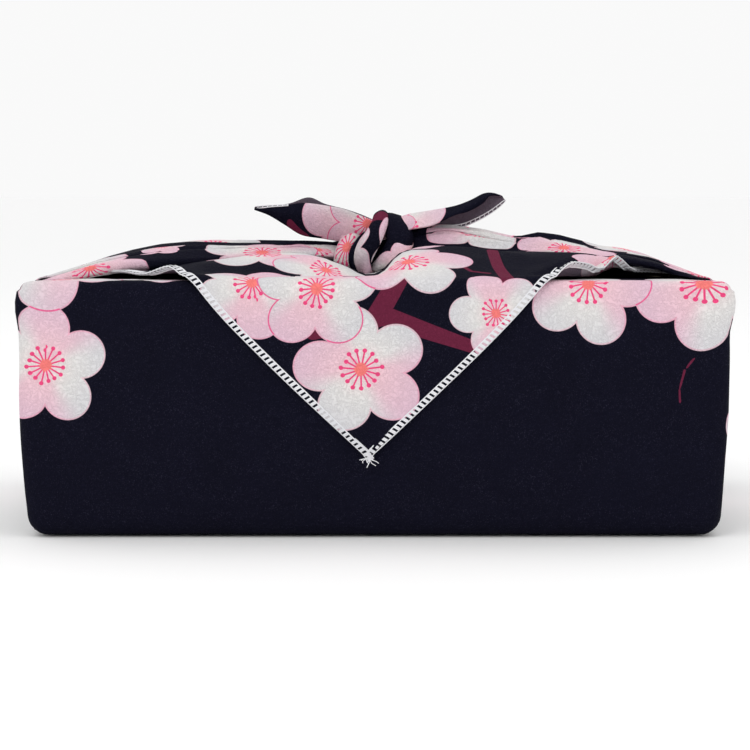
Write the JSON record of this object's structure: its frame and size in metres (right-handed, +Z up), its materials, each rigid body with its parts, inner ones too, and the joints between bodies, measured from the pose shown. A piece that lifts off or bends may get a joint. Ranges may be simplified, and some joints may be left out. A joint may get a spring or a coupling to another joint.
{
  "type": "furoshiki wrap on a box",
  "caption": "Square printed crepe cloth folded round an oblong gift box, one corner hanging down the front as a triangle and two corners tied in a square knot on top",
  "frame": {"origin": "the middle of the flat underside, where the wrapped box rests on the surface", "axes": "X along the length of the box, Y from the front with the hanging corner to the back, Z up"},
  "size_m": [0.297, 0.215, 0.142],
  "materials": {
    "printed_crepe": "matt crepe with a fine uneven grain, dark blue-black ground with pale pink blossoms",
    "box_card": "plain matt card, hidden by the cloth"
  },
  "bodies": {
    "root": {"furoshiki": "printed_crepe", "gift_box": "box_card"}
  },
  "joints": []
}
